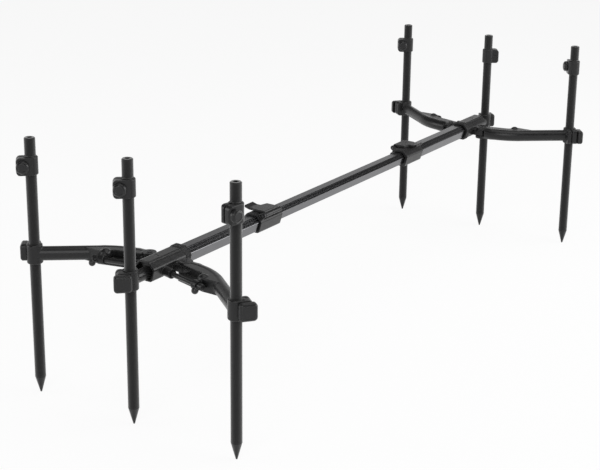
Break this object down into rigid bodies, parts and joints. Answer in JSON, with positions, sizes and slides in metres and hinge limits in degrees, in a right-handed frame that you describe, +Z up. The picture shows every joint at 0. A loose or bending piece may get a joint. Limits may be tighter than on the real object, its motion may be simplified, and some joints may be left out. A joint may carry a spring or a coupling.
{
  "type": "rod pod",
  "caption": "Low folding rod pod for carp fishing: spiked telescopic sticks in split clamps on curved folding arms, joined by a telescopic bar with flip-lever clamps.",
  "frame": {"origin": "on the ground, midway between the six spike points", "axes": "+X along the bar from the near end to the far end, +Y to the left across the bar, +Z up"},
  "size_m": [1.1306, 0.42, 0.3903],
  "materials": {
    "moulded": "fine-grained black glass-filled nylon",
    "knob_moulded": "satin black nylon",
    "bar_anodised": "black satin anodised extrusion",
    "pole_anodised": "black matt anodised tube",
    "spike_metal": "black turned point, matt",
    "screw_black": "black coated steel",
    "pin_steel": "blackened steel"
  },
  "bodies": {
    "near_frame": {"near_hub": "moulded", "near_bar": "bar_anodised", "near_clamp_body": "moulded", "near_lever_pin": "pin_steel", "near_arm_pins": "pin_steel"},
    "middle_bar": {"middle_bar": "bar_anodised", "middle_bar_plugs": "moulded"},
    "near_lever": {"near_lever": "moulded"},
    "near_left_arm": {"near_left_arm": "moulded"},
    "near_left_lock_screw": {"near_left_lock_screw": "screw_black"},
    "near_right_arm": {"near_right_arm": "moulded"},
    "near_right_lock_screw": {"near_right_lock_screw": "screw_black"},
    "far_frame": {"far_hub": "moulded", "far_bar": "bar_anodised", "far_clamp_body": "moulded", "far_lever_pin": "pin_steel", "far_arm_pins": "pin_steel"},
    "far_lever": {"far_lever": "moulded"},
    "far_left_arm": {"far_left_arm": "moulded"},
    "far_left_lock_screw": {"far_left_lock_screw": "screw_black"},
    "far_right_arm": {"far_right_arm": "moulded"},
    "far_right_lock_screw": {"far_right_lock_screw": "screw_black"},
    "near_left_pole": {"near_left_pole": "pole_anodised", "near_left_spike": "spike_metal", "near_left_collar": "moulded"},
    "near_left_inner_stick": {"near_left_inner_stick": "pole_anodised"},
    "near_centre_pole": {"near_centre_pole": "pole_anodised", "near_centre_spike": "spike_metal", "near_centre_collar": "moulded"},
    "near_centre_inner_stick": {"near_centre_inner_stick": "pole_anodised"},
    "near_right_pole": {"near_right_pole": "pole_anodised", "near_right_spike": "spike_metal", "near_right_collar": "moulded"},
    "near_right_inner_stick": {"near_right_inner_stick": "pole_anodised"},
    "far_left_pole": {"far_left_pole": "pole_anodised", "far_left_spike": "spike_metal", "far_left_collar": "moulded"},
    "far_left_inner_stick": {"far_left_inner_stick": "pole_anodised"},
    "far_centre_pole": {"far_centre_pole": "pole_anodised", "far_centre_spike": "spike_metal", "far_centre_collar": "moulded"},
    "far_centre_inner_stick": {"far_centre_inner_stick": "pole_anodised"},
    "far_right_pole": {"far_right_pole": "pole_anodised", "far_right_spike": "spike_metal", "far_right_collar": "moulded"},
    "far_right_inner_stick": {"far_right_inner_stick": "pole_anodised"},
    "near_left_collar_knob": {"near_left_collar_knob": "knob_moulded"},
    "near_left_clamp_knob": {"near_left_clamp_knob": "knob_moulded"},
    "near_centre_collar_knob": {"near_centre_collar_knob": "knob_moulded"},
    "near_centre_clamp_knob": {"near_centre_clamp_knob": "knob_moulded"},
    "near_right_collar_knob": {"near_right_collar_knob": "knob_moulded"},
    "near_right_clamp_knob": {"near_right_clamp_knob": "knob_moulded"},
    "far_left_collar_knob": {"far_left_collar_knob": "knob_moulded"},
    "far_left_clamp_knob": {"far_left_clamp_knob": "knob_moulded"},
    "far_centre_collar_knob": {"far_centre_collar_knob": "knob_moulded"},
    "far_centre_clamp_knob": {"far_centre_clamp_knob": "knob_moulded"},
    "far_right_collar_knob": {"far_right_collar_knob": "knob_moulded"},
    "far_right_clamp_knob": {"far_right_clamp_knob": "knob_moulded"}
  },
  "joints": [
    {"name": "middle_bar_slide", "type": "slide", "parent": "near_frame", "child": "middle_bar", "axis": [1, 0, 0], "range_m": [-0.14, 0.05]},
    {"name": "far_frame_slide", "type": "slide", "parent": "middle_bar", "child": "far_frame", "axis": [1, 0, 0], "range_m": [-0.14, 0.05]},
    {"name": "near_lever_flip", "type": "hinge", "parent": "near_frame", "child": "near_lever", "pos_m": [-0.225, -0.0175, 0.2344], "axis": [1, 0, 0], "range_deg": [0, 110]},
    {"name": "near_left_arm_fold", "type": "hinge", "parent": "near_frame", "child": "near_left_arm", "pos_m": [-0.455, 0.033, 0.217], "axis": [0, 0, -1], "range_deg": [0, 90]},
    {"name": "near_left_lock_screw_turn", "type": "hinge", "parent": "near_left_arm", "child": "near_left_lock_screw", "pos_m": [-0.49927, 0.09025, 0.217], "axis": [-0.2419, 0.9703, 0], "range_deg": [0, 90]},
    {"name": "near_right_arm_fold", "type": "hinge", "parent": "near_frame", "child": "near_right_arm", "pos_m": [-0.455, -0.033, 0.217], "axis": [0, 0, 1], "range_deg": [0, 90]},
    {"name": "near_right_lock_screw_turn", "type": "hinge", "parent": "near_right_arm", "child": "near_right_lock_screw", "pos_m": [-0.49927, -0.09025, 0.217], "axis": [0.2419, 0.9703, 0], "range_deg": [0, 90]},
    {"name": "far_lever_flip", "type": "hinge", "parent": "far_frame", "child": "far_lever", "pos_m": [0.225, 0.0175, 0.2344], "axis": [-1, 0, 0], "range_deg": [0, 110]},
    {"name": "far_left_arm_fold", "type": "hinge", "parent": "far_frame", "child": "far_left_arm", "pos_m": [0.455, 0.033, 0.217], "axis": [0, 0, 1], "range_deg": [0, 90]},
    {"name": "far_left_lock_screw_turn", "type": "hinge", "parent": "far_left_arm", "child": "far_left_lock_screw", "pos_m": [0.49927, 0.09025, 0.217], "axis": [-0.2419, -0.9703, 0], "range_deg": [0, 90]},
    {"name": "far_right_arm_fold", "type": "hinge", "parent": "far_frame", "child": "far_right_arm", "pos_m": [0.455, -0.033, 0.217], "axis": [0, 0, -1], "range_deg": [0, 90]},
    {"name": "far_right_lock_screw_turn", "type": "hinge", "parent": "far_right_arm", "child": "far_right_lock_screw", "pos_m": [0.49927, -0.09025, 0.217], "axis": [0.2419, -0.9703, 0], "range_deg": [0, 90]},
    {"name": "near_left_pole_slide", "type": "slide", "parent": "near_left_arm", "child": "near_left_pole", "axis": [0, 0, 1], "range_m": [-0.09, 0.16]},
    {"name": "near_left_inner_stick_slide", "type": "slide", "parent": "near_left_pole", "child": "near_left_inner_stick", "axis": [0, 0, 1], "range_m": [0, 0.2]},
    {"name": "near_centre_pole_slide", "type": "slide", "parent": "near_frame", "child": "near_centre_pole", "axis": [0, 0, 1], "range_m": [-0.09, 0.16]},
    {"name": "near_centre_inner_stick_slide", "type": "slide", "parent": "near_centre_pole", "child": "near_centre_inner_stick", "axis": [0, 0, 1], "range_m": [0, 0.2]},
    {"name": "near_right_pole_slide", "type": "slide", "parent": "near_right_arm", "child": "near_right_pole", "axis": [0, 0, 1], "range_m": [-0.09, 0.16]},
    {"name": "near_right_inner_stick_slide", "type": "slide", "parent": "near_right_pole", "child": "near_right_inner_stick", "axis": [0, 0, 1], "range_m": [0, 0.2]},
    {"name": "far_left_pole_slide", "type": "slide", "parent": "far_left_arm", "child": "far_left_pole", "axis": [0, 0, 1], "range_m": [-0.09, 0.16]},
    {"name": "far_left_inner_stick_slide", "type": "slide", "parent": "far_left_pole", "child": "far_left_inner_stick", "axis": [0, 0, 1], "range_m": [0, 0.2]},
    {"name": "far_centre_pole_slide", "type": "slide", "parent": "far_frame", "child": "far_centre_pole", "axis": [0, 0, 1], "range_m": [-0.09, 0.16]},
    {"name": "far_centre_inner_stick_slide", "type": "slide", "parent": "far_centre_pole", "child": "far_centre_inner_stick", "axis": [0, 0, 1], "range_m": [0, 0.2]},
    {"name": "far_right_pole_slide", "type": "slide", "parent": "far_right_arm", "child": "far_right_pole", "axis": [0, 0, 1], "range_m": [-0.09, 0.16]},
    {"name": "far_right_inner_stick_slide", "type": "slide", "parent": "far_right_pole", "child": "far_right_inner_stick", "axis": [0, 0, 1], "range_m": [0, 0.2]},
    {"name": "near_left_collar_knob_turn", "type": "hinge", "parent": "near_left_pole", "child": "near_left_collar_knob", "pos_m": [-0.54299, 0.18827, 0.3495], "axis": [-0.7193, -0.6947, 0], "range_deg": [0, 330]},
    {"name": "near_left_clamp_knob_turn", "type": "hinge", "parent": "near_left_arm", "child": "near_left_clamp_knob", "pos_m": [-0.52594, 0.18709, 0.2175], "axis": [-0.6162, 0.7876, 0], "range_deg": [0, 330]},
    {"name": "near_centre_collar_knob_turn", "type": "hinge", "parent": "near_centre_pole", "child": "near_centre_collar_knob", "pos_m": [-0.54255, 0.00868, 0.3495], "axis": [-0.7547, -0.6561, 0], "range_deg": [0, 330]},
    {"name": "near_centre_clamp_knob_turn", "type": "hinge", "parent": "near_frame", "child": "near_centre_clamp_knob", "pos_m": [-0.54313, 0.00813, 0.2175], "axis": [-0.7071, -0.7071, 0], "range_deg": [0, 330]},
    {"name": "near_right_collar_knob_turn", "type": "hinge", "parent": "near_right_pole", "child": "near_right_collar_knob", "pos_m": [-0.54632, -0.178, 0.3495], "axis": [-0.1736, -0.9848, 0], "range_deg": [0, 330]},
    {"name": "near_right_clamp_knob_turn", "type": "hinge", "parent": "near_right_arm", "child": "near_right_clamp_knob", "pos_m": [-0.52594, -0.18709, 0.2175], "axis": [-0.6162, -0.7876, 0], "range_deg": [0, 330]},
    {"name": "far_left_collar_knob_turn", "type": "hinge", "parent": "far_left_pole", "child": "far_left_collar_knob", "pos_m": [0.52857, 0.18953, 0.3495], "axis": [-0.829, -0.5592, 0], "range_deg": [0, 330]},
    {"name": "far_left_clamp_knob_turn", "type": "hinge", "parent": "far_left_arm", "child": "far_left_clamp_knob", "pos_m": [0.52594, 0.18709, 0.2175], "axis": [0.6162, 0.7876, 0], "range_deg": [0, 330]},
    {"name": "far_centre_collar_knob_turn", "type": "hinge", "parent": "far_centre_pole", "child": "far_centre_collar_knob", "pos_m": [0.54143, -0.00953, 0.3495], "axis": [0.829, 0.5592, 0], "range_deg": [0, 330]},
    {"name": "far_centre_clamp_knob_turn", "type": "hinge", "parent": "far_frame", "child": "far_centre_clamp_knob", "pos_m": [0.54313, 0.00813, 0.2175], "axis": [0.7071, -0.7071, 0], "range_deg": [0, 330]},
    {"name": "far_right_collar_knob_turn", "type": "hinge", "parent": "far_right_pole", "child": "far_right_collar_knob", "pos_m": [0.54453, -0.17357, 0.3495], "axis": [-0.5592, 0.829, 0], "range_deg": [0, 330]},
    {"name": "far_right_clamp_knob_turn", "type": "hinge", "parent": "far_right_arm", "child": "far_right_clamp_knob", "pos_m": [0.52594, -0.18709, 0.2175], "axis": [0.6162, -0.7876, 0], "range_deg": [0, 330]}
  ]
}
